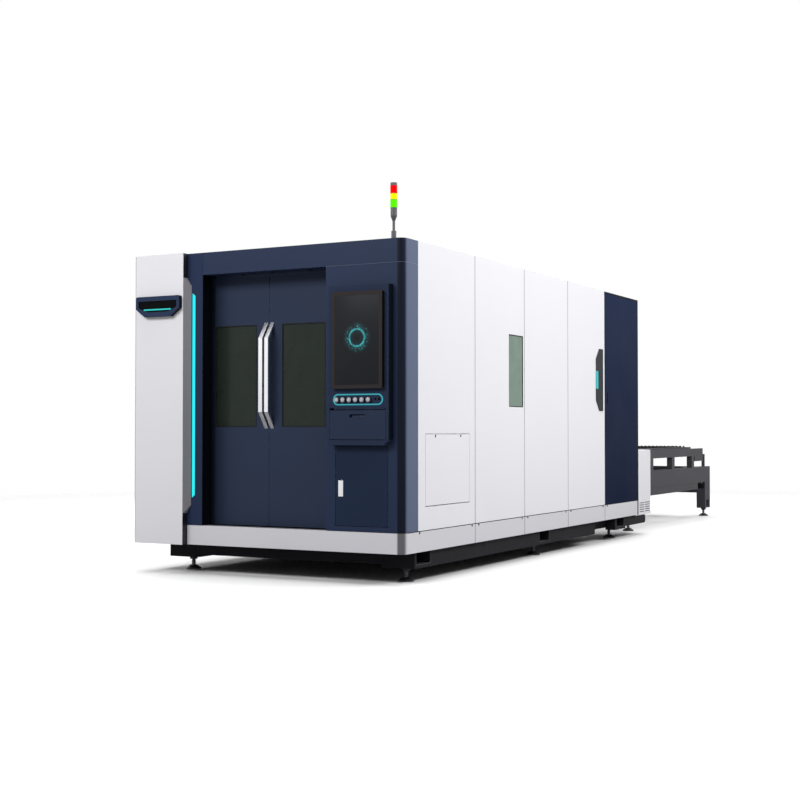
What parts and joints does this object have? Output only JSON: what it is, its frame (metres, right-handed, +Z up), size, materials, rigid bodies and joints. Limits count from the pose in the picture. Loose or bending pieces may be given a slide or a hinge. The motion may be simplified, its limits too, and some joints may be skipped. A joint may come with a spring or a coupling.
{
  "type": "fiber laser cutting machine",
  "caption": "Enclosed fiber laser cutting machine with sliding front doors, operator console, gantry cutting head and a two-tier exchange table at the rear.",
  "frame": {"origin": "on the floor, under the middle of the machine's bounding box", "axes": "+X to the right as the operator faces the front doors, +Y from the operator towards the exchange table, +Z up"},
  "size_m": [2.11, 8.127, 2.581],
  "materials": {
    "navy_paint": "satin",
    "white_paint": "satin",
    "grey_paint": "satin",
    "table_paint": "satin",
    "base_paint": "satin",
    "silver_trim": "satin metallic",
    "dark_steel": "satin",
    "slat_steel": "dark mill scale",
    "tinted_glass": "dark laser safety glass",
    "light_diffuser": "lit diffuser",
    "black_plastic": "glossy",
    "button_plastic": "moulded",
    "lens_plastic": "stacked lenses",
    "bare_steel": "bright",
    "cast_foot": "machined"
  },
  "bodies": {
    "machine": {"base_beams": "base_paint", "base_cross_beams": "base_paint", "leveling_feet": "cast_foot", "cabin_frame": "grey_paint", "plinth_panels": "white_paint", "front_header": "navy_paint", "left_jamb": "navy_paint", "left_column": "white_paint", "column_badge": "navy_paint", "chevron_trims": "silver_trim", "light_strips": "light_diffuser", "control_pillar": "navy_paint", "side_panels_right": "white_paint", "side_panels_left": "white_paint", "side_window": "tinted_glass", "roof_panels": "white_paint", "door_track": "dark_steel", "rear_wall": "white_paint", "lift_door_guides": "dark_steel", "console_housing": "navy_paint", "monitor": "black_plastic", "lamp_stem": "dark_steel", "lamp_lenses": "lens_plastic", "machine_bed": "grey_paint", "table_beams": "table_paint", "table_rails": "table_paint", "table_frame": "table_paint", "drive_cabinet": "white_paint", "laser_source": "grey_paint"},
    "door_left": {"door_leaf_left": "navy_paint", "door_window_left": "tinted_glass", "door_handle_left": "silver_trim"},
    "door_right": {"door_leaf_right": "navy_paint", "door_window_right": "tinted_glass", "door_handle_right": "silver_trim"},
    "hatch": {"access_hatch": "white_paint"},
    "hatch_lock_front": {"hatch_lock_front": "bare_steel"},
    "hatch_lock_rear": {"hatch_lock_rear": "bare_steel"},
    "rear_side_door": {"rear_side_door": "navy_paint"},
    "lift_door": {"lift_door": "white_paint"},
    "keyboard_flap": {"keyboard_flap": "navy_paint"},
    "cabinet_door": {"cabinet_door": "navy_paint"},
    "cabinet_latch": {"cabinet_latch": "silver_trim"},
    "gantry": {"gantry_beam": "grey_paint"},
    "carriage": {"carriage": "grey_paint"},
    "cutting_head": {"cutting_head": "bare_steel"},
    "pallet_upper": {"pallet_upper": "table_paint", "slats_upper": "slat_steel"},
    "pallet_lower": {"pallet_lower": "table_paint", "slats_lower": "slat_steel"},
    "wheelset_upper_front": {"wheelset_upper_front": "bare_steel"},
    "wheelset_upper_rear": {"wheelset_upper_rear": "bare_steel"},
    "wheelset_lower_front": {"wheelset_lower_front": "bare_steel"},
    "wheelset_lower_rear": {"wheelset_lower_rear": "bare_steel"},
    "button_1": {"button_1": "button_plastic"},
    "button_2": {"button_2": "button_plastic"},
    "button_3": {"button_3": "button_plastic"},
    "button_4": {"button_4": "button_plastic"},
    "button_5": {"button_5": "button_plastic"},
    "button_6": {"button_6": "button_plastic"}
  },
  "joints": [
    {"name": "door_left_slide", "type": "slide", "parent": "machine", "child": "door_left", "axis": [-1, 0, 0], "range_m": [0, 0.38]},
    {"name": "door_right_slide", "type": "slide", "parent": "machine", "child": "door_right", "axis": [1, 0, 0], "range_m": [0, 0.38]},
    {"name": "hatch_hinge", "type": "hinge", "parent": "machine", "child": "hatch", "pos_m": [1.0425, -3.6845, 0.503], "axis": [0, 1, 0], "range_deg": [0, 90]},
    {"name": "hatch_lock_front_turn", "type": "hinge", "parent": "hatch", "child": "hatch_lock_front", "pos_m": [1.0425, -3.5425, 0.946], "axis": [1, 0, 0], "range_deg": [0, 90]},
    {"name": "hatch_lock_rear_turn", "type": "hinge", "parent": "hatch", "child": "hatch_lock_rear", "pos_m": [1.0425, -3.1625, 0.946], "axis": [1, 0, 0], "range_deg": [0, 90]},
    {"name": "rear_side_door_hinge", "type": "hinge", "parent": "machine", "child": "rear_side_door", "pos_m": [1.0425, 0.6195, 1.2], "axis": [0, 0, 1], "range_deg": [0, 100]},
    {"name": "lift_door_slide", "type": "slide", "parent": "machine", "child": "lift_door", "axis": [0, 0, 1], "range_m": [0, 0.6]},
    {"name": "keyboard_flap_hinge", "type": "hinge", "parent": "machine", "child": "keyboard_flap", "pos_m": [0.7, -4.0275, 0.933], "axis": [1, 0, 0], "range_deg": [0, 90]},
    {"name": "cabinet_door_hinge", "type": "hinge", "parent": "machine", "child": "cabinet_door", "pos_m": [0.9295, -3.9745, 0.6], "axis": [0, 0, 1], "range_deg": [0, 105]},
    {"name": "cabinet_latch_hinge", "type": "hinge", "parent": "cabinet_door", "child": "cabinet_latch", "pos_m": [0.5895, -3.977, 0.658], "axis": [-1, 0, 0], "range_deg": [0, 35]},
    {"name": "gantry_slide", "type": "slide", "parent": "machine", "child": "gantry", "axis": [0, 1, 0], "range_m": [0, 2.8]},
    {"name": "carriage_slide", "type": "slide", "parent": "gantry", "child": "carriage", "axis": [1, 0, 0], "range_m": [-0.6, 0.6]},
    {"name": "head_slide", "type": "slide", "parent": "carriage", "child": "cutting_head", "axis": [0, 0, 1], "range_m": [0, 0.12]},
    {"name": "pallet_upper_slide", "type": "slide", "parent": "machine", "child": "pallet_upper", "axis": [0, -1, 0], "range_m": [0, 3.43]},
    {"name": "pallet_lower_slide", "type": "slide", "parent": "machine", "child": "pallet_lower", "axis": [0, -1, 0], "range_m": [-3.43, 0]},
    {"name": "wheelset_upper_front_roll", "type": "hinge", "parent": "pallet_upper", "child": "wheelset_upper_front", "pos_m": [0, 0.9995, 0.7363], "axis": [1, 0, 0], "continuous": true},
    {"name": "wheelset_upper_rear_roll", "type": "hinge", "parent": "pallet_upper", "child": "wheelset_upper_rear", "pos_m": [0, 3.3195, 0.7363], "axis": [1, 0, 0], "continuous": true},
    {"name": "wheelset_lower_front_roll", "type": "hinge", "parent": "pallet_lower", "child": "wheelset_lower_front", "pos_m": [0, -2.4305, 0.6023], "axis": [1, 0, 0], "continuous": true},
    {"name": "wheelset_lower_rear_roll", "type": "hinge", "parent": "pallet_lower", "child": "wheelset_lower_rear", "pos_m": [0, -0.1105, 0.6023], "axis": [1, 0, 0], "continuous": true},
    {"name": "button_1_press", "type": "slide", "parent": "machine", "child": "button_1", "axis": [0, 1, 0], "range_m": [0, 0.003], "stiffness_N_per_m": 400},
    {"name": "button_2_press", "type": "slide", "parent": "machine", "child": "button_2", "axis": [0, 1, 0], "range_m": [0, 0.003], "stiffness_N_per_m": 400},
    {"name": "button_3_press", "type": "slide", "parent": "machine", "child": "button_3", "axis": [0, 1, 0], "range_m": [0, 0.003], "stiffness_N_per_m": 400},
    {"name": "button_4_press", "type": "slide", "parent": "machine", "child": "button_4", "axis": [0, 1, 0], "range_m": [0, 0.003], "stiffness_N_per_m": 400},
    {"name": "button_5_press", "type": "slide", "parent": "machine", "child": "button_5", "axis": [0, 1, 0], "range_m": [0, 0.003], "stiffness_N_per_m": 400},
    {"name": "button_6_press", "type": "slide", "parent": "machine", "child": "button_6", "axis": [0, 1, 0], "range_m": [0, 0.003], "stiffness_N_per_m": 400}
  ],
  "couplings": [
    {"joint": "pallet_lower_slide", "follows": "pallet_upper_slide", "ratio": -1},
    {"joint": "wheelset_upper_front_roll", "follows": "pallet_upper_slide", "rad_per_m": 33.003},
    {"joint": "wheelset_upper_rear_roll", "follows": "pallet_upper_slide", "rad_per_m": 33.003},
    {"joint": "wheelset_lower_front_roll", "follows": "pallet_upper_slide", "rad_per_m": -33.003},
    {"joint": "wheelset_lower_rear_roll", "follows": "pallet_upper_slide", "rad_per_m": -33.003}
  ]
}
